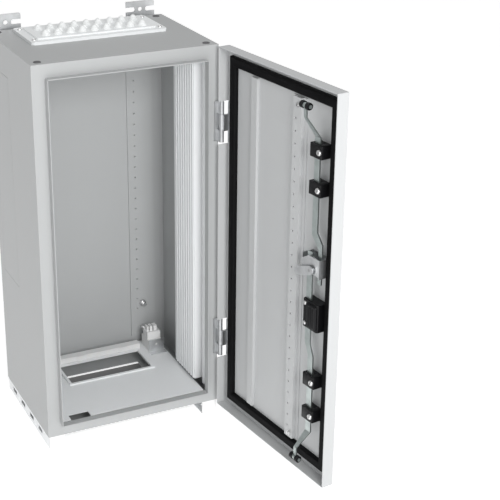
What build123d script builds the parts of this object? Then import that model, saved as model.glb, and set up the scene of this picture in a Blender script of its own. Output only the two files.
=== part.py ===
"""Wall or floor standing sheet steel switchboard cabinet with a rod-locked door, in millimetres.

+Z is up and -Y is the front. The origin is the centre of the four base bolt holes, on the floor.
The door's parts are modelled shut and then swung open about the hinge pins to the stored pose.
A place on the door is (u, w): u from its hinge edge towards its free edge, w up from its foot.
"""

import os
from math import acos, cos, pi, radians, sin, tan

from build123d import *

# Driving dimensions
BODY_W = 388.0
BODY_D = 290.0
BODY_H = 800.0
SHEET = 1.5
BASE_H = 30.0
DOOR_OPEN_DEG = 96.8

# Front frame: a flat flange with a rim that stands forward into the door's seal
RIM_INSET = 27.0
RIM_RADIUS = 3.0
SEAL_THICK = 10.0
SEAL_WIDTH = 20.0
SEAL_GAP = 0.5

# Door pan
DOOR_GAP = 2.0
DOOR_DEPTH = 25.0
DOOR_SIDE_REVEAL = 1.0

# Hinges
PIN_OUT = 2.0
PIN_FORWARD = 12.0
PIN_R = 2.5
PIN_CLEARANCE = 0.05
KNUCKLE_R = 5.0
HINGE_LENGTH = 84.0
HINGE_MIDDLE = 34.0
HINGE_END_DISTANCE = 158.0
KNUCKLE_GAP = 0.5
NOTCH_MARGIN = 3.0
LEAF_THICK = 2.0

# Rod lock
MODULE = 1.0
PRESSURE_ANGLE = 20.0
PINION_TEETH = 24
IDLER_TEETH = 15
ADDENDUM = 0.85
DEDENDUM = 1.25
BACKLASH = 0.12
ROD_WIDTH = 16.0
ROD_THICK = 3.0
ROD_DEPTH = 5.5
GUIDE_U = 325.0
CASE_ROD_U = 314.0
CASE_HEIGHT_RATIO = 0.4375
BRACKET_RISE = 97.0
ROLLER_U = 313.0
ROLLER_R = 7.0
ROLLER_THICK = 8.0
ROLLER_BACK = 12.0
ROLLER_RIM_GAP = 1.0
LUG_WIDTH = 8.0
ROLLER_PIN_R = 2.0
SPINDLE_R = 5.0
IDLER_PIN_R = 3.0
TONGUE_REACH = 38.0
TONGUE_TURN = 20.0
GUIDES_FROM_FOOT = (137.0, 211.0)
GUIDES_FROM_TOP = (194.0, 121.0)
STRIP_END = 42.0
GUIDE_SCREW_U = 340.0
PLAY = 0.4

# Openings and trims
GLAND_W = 250.0
GLAND_D = 92.0
GLAND_BORDER = 20.0
GLAND_Y = 62.0
ENTRY_W = 190.0
ENTRY_D = 85.0
ENTRY_X = 5.0
ENTRY_Y = 45.0
SIDE_COVER_D = 106.0
SIDE_COVER_HEAD = 64.0
SIDE_COVER_Y = 64.0
SIDE_COVER_FOOT = 280.0
COVER_GAP = 0.6
STRIP_X = 108.0
STRIP_W = 61.0
STRIP_RAISE = 3.0
LINER_FACE = 161.5
LINER_FRONT = 47.0
LINER_D = 103.0
LINER_WALL = 2.0
LINER_RIB_PITCH = 12.0
UPRIGHT_R = 9.0
PERFORATION_PITCH = 25.0

# Fixings
BASE_HOLE_R = 4.5
BASE_HOLE_X = 175.5
BASE_HOLE_Y = 110.0
RAIL_WIDTH = 33.0
RAIL_WALL = 2.0
WALL_HOLE_R = 4.5
WALL_HOLE_X = 150.0
WALL_STANDOFF = 12.0
LUG_THICK = 2.5
LUG_RISE = 22.0

# Worked out from the above
HALF_W = BODY_W / 2
FRONT = -BODY_D / 2
BACK = BODY_D / 2
FOOT = BASE_H
TOP = BASE_H + BODY_H
RIM_X = HALF_W - RIM_INSET
RIM_REACH = DOOR_GAP + DOOR_DEPTH - SHEET - SEAL_THICK - SEAL_GAP
DOOR_EDGE_X = HALF_W - DOOR_SIDE_REVEAL
DOOR_W = 2 * DOOR_EDGE_X
DOOR_REAR = FRONT - DOOR_GAP
DOOR_FRONT = DOOR_REAR - DOOR_DEPTH
DOOR_FACE = DOOR_FRONT + SHEET
CASE_W = CASE_HEIGHT_RATIO * BODY_H
BRACKET_W = CASE_W + BRACKET_RISE
GUIDE_HEIGHTS = [*GUIDES_FROM_FOOT, *(BODY_H - distance for distance in GUIDES_FROM_TOP)]
SIDE_COVER_H = BODY_H - SIDE_COVER_FOOT - SIDE_COVER_HEAD
PIN_X = HALF_W + PIN_OUT
PIN_Y = FRONT - PIN_FORWARD
HINGE_CENTRES = (FOOT + HINGE_END_DISTANCE, TOP - HINGE_END_DISTANCE)
ROD_BACK = DOOR_REAR - ROD_DEPTH
ROD_FRONT = ROD_BACK - ROD_THICK
PINION_R = MODULE * PINION_TEETH / 2
IDLER_R = MODULE * IDLER_TEETH / 2
TOOTH_PITCH = pi * MODULE
ROD_TRAVEL = PINION_R * pi / 2
CASE_RACK_U = CASE_ROD_U + ROD_WIDTH / 2
PITCH_U = CASE_RACK_U + DEDENDUM * MODULE
PINION_U = PITCH_U + PINION_R
IDLER_U = PITCH_U + IDLER_R
UPPER_RACK_U = IDLER_U + IDLER_R + DEDENDUM * MODULE
ROLLER_INSET = RIM_INSET + SHEET + ROLLER_RIM_GAP + ROLLER_R
UPPER_ROLLER_W = BODY_H - ROLLER_INSET
LOWER_ROLLER_W = ROLLER_INSET
ROLLER_Y = FRONT + ROLLER_BACK
WALL_LUG_ROWS = ((TOP - 10, 1), (FOOT + 30, -1))

made = {}


def keep(name, shape, on_door=False):
    """Files a sub-part under its node name, swung open with the door if it rides on it."""
    made[name] = swing(shape) if on_door else shape


def swing(shape):
    """Turns a shape on the shut door to the stored opening angle about the hinge pins."""
    return Pos(PIN_X, PIN_Y, 0) * Rot(0, 0, DOOR_OPEN_DEG) * Pos(-PIN_X, -PIN_Y, 0) * shape


def group(shapes):
    """Several separate solids as one node."""
    return Compound(children=[solid for shape in shapes for solid in shape.solids()])


def block(x0, x1, y0, y1, z0, z1):
    """An upright box from its lowest and highest corners, in either order."""
    size = (abs(x1 - x0), abs(y1 - y0), abs(z1 - z0))
    return Pos((x0 + x1) / 2, (y0 + y1) / 2, (z0 + z1) / 2) * Box(*size)


def prism_y(sketch, y0, y1):
    """A sketch drawn in X and Z, from y0 back to y1."""
    return extrude(Plane.XZ.offset(-y0) * sketch, amount=y1 - y0, dir=(0, 1, 0))


def prism_x(sketch, x0, x1):
    """A sketch drawn in Y and Z, from x0 to x1."""
    return extrude(Plane.YZ.offset(x0) * sketch, amount=x1 - x0, dir=(1, 0, 0))


def prism_z(sketch, z0, z1):
    """A sketch drawn in X and Y, from z0 up to z1."""
    return extrude(Plane.XY.offset(z0) * sketch, amount=z1 - z0, dir=(0, 0, 1))


def rod_x(x0, x1, y, z, radius):
    return prism_x(Pos(y, z) * Circle(radius), x0, x1)


def rod_y(x, z, y0, y1, radius):
    return prism_y(Pos(x, z) * Circle(radius), y0, y1)


def rod_z(x, y, z0, z1, radius):
    return prism_z(Pos(x, y) * Circle(radius), z0, z1)


def door_x(u):
    """X of a distance u from the hinge edge, on the shut door."""
    return DOOR_EDGE_X - u


def door_block(u0, u1, y0, y1, w0, w1):
    return block(door_x(u0), door_x(u1), y0, y1, FOOT + w0, FOOT + w1)


def door_outline(points):
    """A closed outline on the door from its (u, w) corners."""
    return Polygon(*[(door_x(u), FOOT + w) for u, w in points], align=None)


# Cabinet body


def front_frame():
    """The welded front: a flange ring, with a rim that runs forward round the opening."""
    middle = (0, FOOT + BODY_H / 2)
    outer = Pos(*middle) * Rectangle(BODY_W, BODY_H)
    rim_w, rim_h = BODY_W - 2 * RIM_INSET, BODY_H - 2 * RIM_INSET
    rim = Pos(*middle) * RectangleRounded(rim_w, rim_h, RIM_RADIUS)
    hole = Pos(*middle) * RectangleRounded(rim_w - 2 * SHEET, rim_h - 2 * SHEET, RIM_RADIUS - SHEET)
    flange = prism_y(outer - hole, FRONT, FRONT + SHEET)
    return flange + prism_y(rim - hole, FRONT - RIM_REACH, FRONT)


def side_wall(side):
    """A side sheet behind the front frame, with the cut-out that its cover closes."""
    x0, x1 = side * HALF_W, side * (HALF_W - SHEET)
    wall = block(x0, x1, FRONT + SHEET, BACK, FOOT, TOP)
    y0 = SIDE_COVER_Y - SIDE_COVER_D / 2
    z0 = FOOT + SIDE_COVER_FOOT
    return wall - block(x0, x1, y0, y0 + SIDE_COVER_D, z0, z0 + SIDE_COVER_H)


def side_cover(side):
    """The flush cover in a side sheet: a plate in the cut-out and a wider lip behind it."""
    lip = 5.0
    y0 = SIDE_COVER_Y - SIDE_COVER_D / 2
    z0 = FOOT + SIDE_COVER_FOOT
    outer, inner = side * HALF_W, side * (HALF_W - SHEET)
    plate = block(
        outer, inner, y0 + COVER_GAP, y0 + SIDE_COVER_D - COVER_GAP,
        z0 + COVER_GAP, z0 + SIDE_COVER_H - COVER_GAP,
    )
    backing = block(
        inner, inner - side * 1.0, y0 - lip, y0 + SIDE_COVER_D + lip, z0 - lip, z0 + SIDE_COVER_H + lip
    )
    return plate + backing


def roof():
    sheet = block(SHEET - HALF_W, HALF_W - SHEET, FRONT + SHEET, BACK, TOP - SHEET, TOP)
    y0, y1 = GLAND_Y - GLAND_D / 2, GLAND_Y + GLAND_D / 2
    hole = block(-GLAND_W / 2, GLAND_W / 2, y0, y1, TOP - SHEET, TOP)
    return sheet - hole - roof_plug_places(TOP - SHEET, TOP, 5.0)


def roof_plug_places(z0, z1, radius):
    x, front, back = HALF_W - 19, FRONT + 18, BACK - 17
    spots = [(-x, front), (x, front), (-x, back), (x, back)]
    return Part() + [rod_z(px, py, z0, z1, radius) for px, py in spots]


def roof_plugs():
    """Rubber plugs in the lifting eye holes."""
    return roof_plug_places(TOP, TOP + 2, 7.5) + roof_plug_places(TOP - 5, TOP, 4.9)


def floor_pan():
    sheet = block(SHEET - HALF_W, HALF_W - SHEET, FRONT + SHEET, BACK, FOOT, FOOT + SHEET)
    return sheet - entry_hole(FOOT, FOOT + SHEET) - base_bolt_holes(FOOT, FOOT + SHEET, BASE_HOLE_R)


def entry_hole(z0, z1):
    return block(
        ENTRY_X - ENTRY_W / 2, ENTRY_X + ENTRY_W / 2, ENTRY_Y - ENTRY_D / 2, ENTRY_Y + ENTRY_D / 2, z0, z1
    )


def base_bolt_holes(z0, z1, radius):
    spots = [(sx * BASE_HOLE_X, sy * BASE_HOLE_Y) for sx in (-1, 1) for sy in (-1, 1)]
    return Part() + [rod_z(x, y, z0, z1, radius) for x, y in spots]


def back_panel():
    """The rear sheet between the others, with a raised strip up each side and its row of holes."""
    x = HALF_W - SHEET
    face = BACK - SHEET - STRIP_RAISE
    sheet = block(-x, x, BACK - SHEET, BACK, FOOT + SHEET, TOP - SHEET)
    strips = [
        block(side * STRIP_X, side * (STRIP_X + STRIP_W), face, BACK - SHEET, FOOT + 40, TOP - 20)
        for side in (-1, 1)
    ]
    holes = [
        rod_y(side * (STRIP_X + 16), FOOT + 110 + PERFORATION_PITCH * i, face, BACK - SHEET, 1.9)
        for side in (-1, 1)
        for i in range(int((BODY_H - 150) / PERFORATION_PITCH))
    ]
    return sheet + strips - holes


def gland_frame():
    """The moulded frame clamped over the roof cut-out."""
    outer = Pos(0, GLAND_Y) * RectangleRounded(GLAND_W + 2 * GLAND_BORDER, GLAND_D + 2 * GLAND_BORDER, 8)
    inner = Pos(0, GLAND_Y) * RectangleRounded(GLAND_W - 4, GLAND_D - 4, 5)
    spigot = Pos(0, GLAND_Y) * RectangleRounded(GLAND_W - 1, GLAND_D - 1, 6)
    frame = prism_z(outer - inner, TOP, TOP + 6) + prism_z(spigot - inner, TOP - 8, TOP)
    return frame - [rod_z(x, y, TOP, TOP + 6, 2.6) for x, y in gland_screw_spots()]


def gland_screw_spots():
    x = GLAND_W / 2 + GLAND_BORDER / 2
    y = GLAND_D / 2 + 2
    return [(sx * x, GLAND_Y + sy * y) for sx in (-1, 1) for sy in (-1, 1)]


def gland_screws():
    heads = [rod_z(x, y, TOP + 6, TOP + 8.5, 4.6) for x, y in gland_screw_spots()]
    shanks = [rod_z(x, y, TOP, TOP + 6, 2.5) for x, y in gland_screw_spots()]
    slots = [block(x - 4, x + 4, y - 0.5, y + 0.5, TOP + 7.5, TOP + 8.5) for x, y in gland_screw_spots()]
    return group([head + shank - slot for head, shank, slot in zip(heads, shanks, slots)])


def grommet_spots():
    """(x, y, radius) of the cable entries: large ones front and rear, with small ones between."""
    spots = [(-104 + 26 * i, GLAND_Y - 27, 9.5) for i in range(9)]
    spots += [(-91 + 26 * i, GLAND_Y - 3, 6.0) for i in range(8)]
    spots += [(-104 + 26 * i, GLAND_Y + 22, 9.5) for i in range(9)]
    return spots


def gland_plate():
    """The raised plate that carries the cable entries."""
    outer = Pos(0, GLAND_Y) * RectangleRounded(GLAND_W + 6, GLAND_D + 6, 6)
    plate = prism_z(outer, TOP + 6, TOP + 9)
    return plate - [rod_z(x, y, TOP + 6, TOP + 9, r - 1) for x, y, r in grommet_spots()]


def cable_grommets():
    """Stepped membrane nipples, one in each hole of the gland plate."""
    solids = []
    for x, y, r in grommet_spots():
        collar = rod_z(x, y, TOP + 9, TOP + 11, r)
        neck = rod_z(x, y, TOP + 6, TOP + 9, r - 1)
        tip = Pos(x, y, TOP + 11 + r * 0.45) * Cone(r * 0.8, r * 0.35, r * 0.9)
        solids.append(collar + neck + tip)
    return group(solids)


def floor_plate():
    """The raised white tray over the floor pan, notched at the front for the lower rollers."""
    x = RIM_X - SHEET - 2
    z = FOOT + RIM_INSET
    tray = block(-x, x, FRONT + 6, BACK - 12, z, z + SHEET)
    lip = block(-x, x, FRONT + 6, FRONT + 6 + SHEET, FOOT + 8, z)
    legs = [block(s * x, s * (x - SHEET), FRONT + 6, BACK - 12, FOOT + SHEET, z) for s in (-1, 1)]
    middle = door_x(ROLLER_U)
    notch = block(middle - 22, middle + 22, FRONT + 6, FRONT + 24, FOOT, z + SHEET)
    return tray + lip + legs - notch - entry_hole(z, z + SHEET)


def entry_collar():
    """The angled collar round the floor cut-out."""
    x0, x1 = ENTRY_X - ENTRY_W / 2, ENTRY_X + ENTRY_W / 2
    y0, y1 = ENTRY_Y - ENTRY_D / 2, ENTRY_Y + ENTRY_D / 2
    z = FOOT + RIM_INSET + SHEET
    outer = block(x0 - 6, x1 + 6, y0 - 6, y1 + 6, z, z + 3)
    return outer - block(x0, x1, y0, y1, z, z + 3)


def entry_bar():
    """The cable clamping bar behind the cut-out, with its two clips."""
    z = FOOT + RIM_INSET + SHEET
    y = ENTRY_Y + ENTRY_D / 2 + 8
    x0, x1 = ENTRY_X - ENTRY_W / 2 - 30, ENTRY_X + ENTRY_W / 2 + 10
    bar = block(x0, x1, y, y + 18, z, z + 14) - block(x0, x1, y + 2, y + 18, z, z + 12)
    clips = [block(cx - 9, cx + 9, y - 2, y, z + 3, z + 14) for cx in (ENTRY_X - 40, ENTRY_X + 62)]
    return bar + clips


def terminal_block():
    """The protective earth block on the floor, a stepped moulding with two wire slots."""
    z = FOOT + RIM_INSET + SHEET
    x0, x1, y0, y1 = 124, 156, 72, 118
    body = block(x0, x1, y0, y1, z, z + 26) + block(x0, x1, y0 + 10, y1 - 10, z + 26, z + 44)
    body += block(x0 + 2, x1 - 6, y0 + 16, y1 - 16, z + 44, z + 56)
    slots = [block(sx, sx + 3, y0 + 16, y1 - 16, z + 42, z + 56) for sx in (x0 + 6, x0 + 15)]
    return body - slots


def terminal_foot():
    """The support bracket that the earth block stands beside, screwed to the tray."""
    z = FOOT + RIM_INSET + SHEET
    foot = block(122, 160, 54, 71, z, z + 2)
    web = block(122, 160, 69, 71, z + 2, z + 30)
    return foot + web - [rod_y(141, z + 18, 69, 71, 3)]


def rear_studs():
    """Earth and fixing studs on the back panel's strips, each with its nut."""
    solids = []
    face = BACK - SHEET - STRIP_RAISE
    for x, z in ((136, FOOT + 60), (136, FOOT + 124), (-136, FOOT + 60), (-136, FOOT + 124)):
        stud = rod_y(x, z, face - 17, face, 4)
        nut = prism_y(Pos(x, z) * RegularPolygon(7.5, 6), face - 9, face - 2)
        solids.append(stud + nut)
    return group(solids)


def side_liner(side):
    """The white profile that device frames clip to: a channel on the side wall, ribbed on its face."""
    wall = side * (HALF_W - SHEET)
    face = side * LINER_FACE
    y0, y1 = FRONT + LINER_FRONT, FRONT + LINER_FRONT + LINER_D
    z0, z1 = FOOT + RIM_INSET + 8, TOP - 34
    profile = block(wall, face, y0, y1, z0, z1)
    profile -= block(wall, face + side * LINER_WALL, y0 + LINER_WALL, y1 - LINER_WALL, z0, z1)
    first = y0 + 4
    ribs = [
        block(face, face - side * 1.5, first + LINER_RIB_PITCH * i, first + LINER_RIB_PITCH * i + 5, z0, z1)
        for i in range(int((LINER_D - 6) / LINER_RIB_PITCH))
    ]
    return profile + ribs


def front_upright(side):
    """The rounded post beside the door opening, held by a fin on the side wall."""
    x, y = side * (HALF_W - SHEET - 2 - UPRIGHT_R), FRONT + 28
    z0, z1 = FOOT + RIM_INSET + 4, TOP - 32
    post = rod_z(x, y, z0, z1, UPRIGHT_R) + block(x, side * (HALF_W - SHEET), y - 2, y + 2, z0, z1)
    return post - rod_z(x, y, z0, z1, UPRIGHT_R - 1.5)


def base_rail(side):
    """A floor rail welded from three flat bars: a slotted outer web between two flanges."""
    outer = side * (HALF_W - 2)
    inner = outer - side * RAIL_WIDTH
    y0, y1 = FRONT + 3, BACK - 3
    holes = base_bolt_holes(0, BASE_H, BASE_HOLE_R)
    lower = block(outer, inner, y0, y1, 0, RAIL_WALL) - holes
    upper = block(outer, inner, y0, y1, BASE_H - RAIL_WALL, BASE_H) - holes
    web_inner = outer - side * RAIL_WALL
    slots = [block(outer, web_inner, y - 14, y + 14, 10, 20) for y in (-80, -20, 40, 100)]
    web = block(outer, web_inner, y0, y1, RAIL_WALL, BASE_H - RAIL_WALL) - slots
    return group([lower, web, upper])


def rail_caps():
    """Moulded end caps of the floor rails."""
    solids = []
    for side in (-1, 1):
        outer = side * (HALF_W - 2)
        for y0, y1 in ((FRONT, FRONT + 3), (BACK - 3, BACK)):
            solids.append(block(outer, outer - side * RAIL_WIDTH, y0, y1, 0, BASE_H))
    return group(solids)


def wall_lugs(z, rise):
    """Two slotted wall fixing plates, set off the back panel. rise is +1 upwards or -1 downwards."""
    solids = []
    y = BACK + WALL_STANDOFF
    for side in (-1, 1):
        x = side * WALL_HOLE_X
        centre = z + rise * LUG_RISE
        face = Pos(x, centre) * RectangleRounded(66, 36, 3)
        open_slots = [Pos(x + s * 25, centre) * SlotOverall(26, 10) for s in (-1, 1)]
        plate = prism_y(face - open_slots - Pos(x, centre) * Circle(WALL_HOLE_R), y, y + LUG_THICK)
        z_fold = centre - rise * 18
        web = block(x - 22, x + 22, BACK, y + LUG_THICK, z_fold, z_fold - rise * LUG_THICK)
        tail = block(x - 22, x + 22, BACK, BACK + LUG_THICK, z_fold, z_fold - rise * 24)
        tail -= rod_y(x, z_fold - rise * 14, BACK, BACK + LUG_THICK, 3.2)
        solids.append(plate + web + tail)
    return group(solids)


def lug_bolts():
    """The hexagon bolts that hold the wall lugs."""
    solids = []
    for z, rise in WALL_LUG_ROWS:
        for side in (-1, 1):
            spot = (side * WALL_HOLE_X, z + rise * (LUG_RISE - 18) - rise * 14)
            shank = prism_y(Pos(*spot) * Circle(3), BACK, BACK + LUG_THICK)
            head = prism_y(Pos(*spot) * RegularPolygon(5.8, 6), BACK + LUG_THICK, BACK + LUG_THICK + 4)
            solids.append(shank + head)
    return group(solids)


def catch_plate(w, lies):
    """A hardened strip behind the front flange that a roller runs onto. lies is +1 at the top."""
    x = door_x(ROLLER_U)
    edge = RIM_INSET + SHEET
    z0 = (TOP - edge) if lies > 0 else (FOOT + edge)
    return block(x - 24, x + 24, FRONT + SHEET, FRONT + SHEET + w, z0 + lies * 2, z0 + lies * 20)


def side_catch():
    """The strip that the side tongue turns behind."""
    x0 = SHEET - RIM_X
    z = FOOT + BRACKET_W
    return block(x0 - 2, x0 - 18, FRONT + SHEET, FRONT + SHEET + 1.5, z - 30, z + 14)


# Hinges


def knuckle(z0, z1):
    return rod_z(PIN_X, PIN_Y, z0, z1, KNUCKLE_R)


def hinge_frame_half(z):
    """The half on the cabinet: a leaf on the flange, with the top and bottom knuckles."""
    half, middle = HINGE_LENGTH / 2, HINGE_MIDDLE / 2 + KNUCKLE_GAP
    leaf = block(HALF_W - 10, HALF_W + PIN_OUT, FRONT - LEAF_THICK - 1, FRONT, z - half, z + half)
    for z0, z1 in ((z + middle, z + half), (z - half, z - middle)):
        leaf += knuckle(z0, z1) + block(PIN_X - 5, PIN_X, PIN_Y, FRONT, z0, z1)
    return leaf - rod_z(PIN_X, PIN_Y, z - half, z + half, PIN_R + PIN_CLEARANCE)


def hinge_door_half(z):
    """The half on the door: a leaf on the pan's face, with the middle knuckle."""
    half, middle = HINGE_LENGTH / 2, HINGE_MIDDLE / 2
    leaf_edge = DOOR_EDGE_X - 14
    leaf = block(leaf_edge, DOOR_EDGE_X - SHEET, DOOR_FACE, DOOR_FACE + LEAF_THICK, z - half, z + half)
    arm = block(DOOR_EDGE_X - 6, DOOR_EDGE_X, DOOR_FACE, PIN_Y, z - middle, z + middle)
    half_part = leaf + arm + knuckle(z - middle, z + middle)
    return half_part - rod_z(PIN_X, PIN_Y, z - half, z + half, PIN_R + PIN_CLEARANCE)


def hinge_pin(z):
    half = HINGE_LENGTH / 2
    return rod_z(PIN_X, PIN_Y, z - half, z + half, PIN_R) + rod_z(PIN_X, PIN_Y, z + half, z + half + 3, 4.4)


# Door


def door_panel():
    """The folded door pan, with its hinge side cut away at the hinges and the lock spindle's hole."""
    pan = door_block(0, DOOR_W, DOOR_FRONT, DOOR_REAR, 0, BODY_H)
    pan -= door_block(SHEET, DOOR_W - SHEET, DOOR_FACE, DOOR_REAR, SHEET, BODY_H - SHEET)
    reach = HINGE_LENGTH / 2 + NOTCH_MARGIN
    for z in HINGE_CENTRES:
        pan -= block(DOOR_EDGE_X - SHEET, DOOR_EDGE_X, DOOR_FACE, DOOR_REAR, z - reach, z + reach)
    return pan - rod_y(door_x(PINION_U), FOOT + CASE_W, DOOR_FRONT, DOOR_FACE, SPINDLE_R + PLAY)


def seal():
    """The foamed seal, a flat ring centred on the frame's rim."""
    centre = Pos(0, FOOT + BODY_H / 2)
    half = SEAL_WIDTH / 2
    width, height = BODY_W - 2 * RIM_INSET, BODY_H - 2 * RIM_INSET
    outer = centre * RectangleRounded(width + 2 * half, height + 2 * half, 12)
    inner = centre * RectangleRounded(width - 2 * half, height - 2 * half, 5)
    return prism_y(outer - inner, DOOR_FACE, DOOR_FACE + SEAL_THICK)


def stiffener():
    """The folded hat rib near the hinge side."""
    w0, w1 = STRIP_END, BODY_H - STRIP_END
    outer = door_block(91, 110, DOOR_FACE, DOOR_FACE + 6, w0, w1)
    return outer - door_block(93, 108, DOOR_FACE, DOOR_FACE + 4, w0, w1)


def perforated_rail():
    """The fixing rail, a shallow channel with a row of holes at the standard pitch."""
    w0, w1 = STRIP_END, BODY_H - STRIP_END
    rail = door_block(236, 262, DOOR_FACE, DOOR_FACE + 10, w0, w1)
    rail -= door_block(238, 260, DOOR_FACE, DOOR_FACE + 8, w0, w1)
    rail += door_block(262, 270, DOOR_FACE, DOOR_FACE + 2, w0, w1)
    rail += door_block(228, 236, DOOR_FACE, DOOR_FACE + 2, w0, w1)
    first = w0 + PERFORATION_PITCH
    count = int((w1 - w0 - PERFORATION_PITCH) / PERFORATION_PITCH)
    spots = [(door_x(245), FOOT + first + PERFORATION_PITCH * i) for i in range(count)]
    return rail - [rod_y(x, z, DOOR_FACE + 8, DOOR_FACE + 10, 1.9) for x, z in spots]


def rail_nuts():
    """The welded studs and nuts that hold the rail, top and bottom."""
    solids = []
    for w in (STRIP_END + PERFORATION_PITCH / 2, BODY_H - STRIP_END - PERFORATION_PITCH / 2):
        x, z = door_x(255), FOOT + w
        nut = prism_y(Pos(x, z) * RegularPolygon(4.6, 6), DOOR_FACE + 10, DOOR_FACE + 14)
        solids.append(nut + rod_y(x, z, DOOR_FACE + 10, DOOR_FACE + 17, 2.5))
    return group(solids)


def rod_guide(w):
    """A moulded block that a rod slides through, screwed to the door."""
    u0, u1, half = GUIDE_U - 14, GUIDE_U + 21, 13.5
    guide = door_block(u0, u1, DOOR_FACE, DOOR_REAR + 1, w - half, w + half)
    corners = guide.edges().filter_by(Axis.Z).sort_by(Axis.Y)[-2:]
    guide = chamfer(corners, 4)
    side = ROD_WIDTH / 2 + PLAY
    y0, y1 = ROD_FRONT - PLAY, ROD_BACK + PLAY
    guide -= door_block(GUIDE_U - side, GUIDE_U + side, y0, y1, w - half, w + half)
    x, z = door_x(GUIDE_SCREW_U), FOOT + w
    guide -= rod_y(x, z, DOOR_FACE, DOOR_REAR + 1, 2.6)
    return guide - rod_y(x, z, DOOR_REAR - 3, DOOR_REAR + 1, 4.9)


def lock_case():
    """The moulded cover over the lock's pinion, open towards the door and at both ends for the rod."""
    u0, u1, half = CASE_ROD_U - 11, PINION_U + PINION_R + 2.5, 28.5
    case = door_block(u0, u1, DOOR_FACE, DOOR_REAR, CASE_W - half, CASE_W + half)
    case = chamfer(case.edges().filter_by(Axis.Z).sort_by(Axis.Y)[-2:], 3)
    case -= door_block(u0 + 2, u1 - 1.2, DOOR_FACE, DOOR_REAR - 3, CASE_W - half + 3, CASE_W + half - 3)
    side = ROD_WIDTH / 2 + PLAY
    lip = (DEDENDUM + ADDENDUM) * MODULE + PLAY
    slot = door_block(
        CASE_ROD_U - side, CASE_ROD_U + side + lip, ROD_FRONT - PLAY, ROD_BACK + PLAY,
        CASE_W - half, CASE_W + half,
    )
    return case - slot - [rod_y(x, z, DOOR_REAR - 3, DOOR_REAR, 2.2) for x, z in case_screw_spots()]


def case_screw_spots():
    return [(door_x(CASE_ROD_U - 3), FOOT + CASE_W + s * 21) for s in (-1, 1)]


def lock_screws():
    """Pan head screws of the rod guides and of the lock cover."""
    guides = [
        rod_y(door_x(GUIDE_SCREW_U), FOOT + w, DOOR_FACE, DOOR_REAR - 3, 2.5)
        + rod_y(door_x(GUIDE_SCREW_U), FOOT + w, DOOR_REAR - 3, DOOR_REAR - 0.5, 4.6)
        for w in GUIDE_HEIGHTS
    ]
    cover = [
        rod_y(x, z, DOOR_REAR - 3, DOOR_REAR, 2.1) + rod_y(x, z, DOOR_REAR, DOOR_REAR + 1.4, 3.8)
        for x, z in case_screw_spots()
    ]
    return group(guides + cover)


def gear_bracket():
    """The folded steel bracket that holds the idler and backs the crossing of the two rods."""
    w0, w1 = BRACKET_W - 22, BRACKET_W + 26
    back = door_block(300, 349, DOOR_FACE, DOOR_FACE + 2, w0, w1)
    left = door_block(300, 302, DOOR_FACE + 2, DOOR_REAR + 3, w0 + 6, w1)
    right = door_block(352.5, 354.5, DOOR_FACE + SEAL_THICK + 2, DOOR_REAR + 3, w0 + 10, w1)
    foot = door_block(349, 354.5, DOOR_FACE + SEAL_THICK + 0.5, DOOR_FACE + SEAL_THICK + 2, w0 + 10, w1)
    riser = door_block(347, 349, DOOR_FACE, DOOR_FACE + SEAL_THICK + 2, w0 + 10, w1)
    bridge = prism_y(
        door_outline([(300, w0 + 14), (354.5, w0 + 14), (354.5, w1), (320, w1), (300, w1 - 12)]),
        DOOR_REAR + 1, DOOR_REAR + 3,
    )
    bracket = back + left + right + foot + riser + bridge
    return bracket - rod_y(door_x(IDLER_U), FOOT + BRACKET_W, DOOR_FACE, DOOR_REAR + 3, IDLER_PIN_R + 0.05)


def handle_rose():
    """The round boss that the outside lever turns in."""
    x, z = door_x(PINION_U), FOOT + CASE_W
    boss = rod_y(x, z, DOOR_FRONT - 10, DOOR_FRONT, 24)
    boss = chamfer(boss.edges().filter_by(GeomType.CIRCLE).sort_by(Axis.Y)[0:1], 3)
    return boss - rod_y(x, z, DOOR_FRONT - 10, DOOR_FRONT, SPINDLE_R + PLAY)


# Lock gear


def involute(angle):
    return tan(angle) - angle


def gear_outline(teeth, first_tooth):
    """Outline of a spur gear about the origin, with involute flanks. first_tooth is in degrees."""
    pitch_r = MODULE * teeth / 2
    base_r = pitch_r * cos(radians(PRESSURE_ANGLE))
    tip_r, root_r = pitch_r + ADDENDUM * MODULE, pitch_r - DEDENDUM * MODULE
    half_at_pitch = (TOOTH_PITCH / 4 - BACKLASH / 2) / pitch_r
    whole = half_at_pitch + involute(radians(PRESSURE_ANGLE))
    flank = [(root_r, whole)]
    for step in range(5):
        r = base_r + (tip_r - base_r) * step / 4
        flank.append((r, whole - involute(acos(min(1.0, base_r / r)))))
    points = []
    for tooth in range(teeth):
        middle = radians(first_tooth + 360 / teeth * tooth)
        rising = [(r, middle - half) for r, half in flank]
        falling = [(r, middle + half) for r, half in reversed(flank)]
        points += [(r * cos(a), r * sin(a)) for r, a in rising + falling]
    return Polygon(*points, align=None)


def gear(u, w, teeth, first_tooth):
    """A gear on the door at (u, w), in the rods' plane."""
    outline = Pos(door_x(u), FOOT + w) * gear_outline(teeth, first_tooth)
    return prism_y(outline, ROD_FRONT, ROD_BACK)


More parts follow.
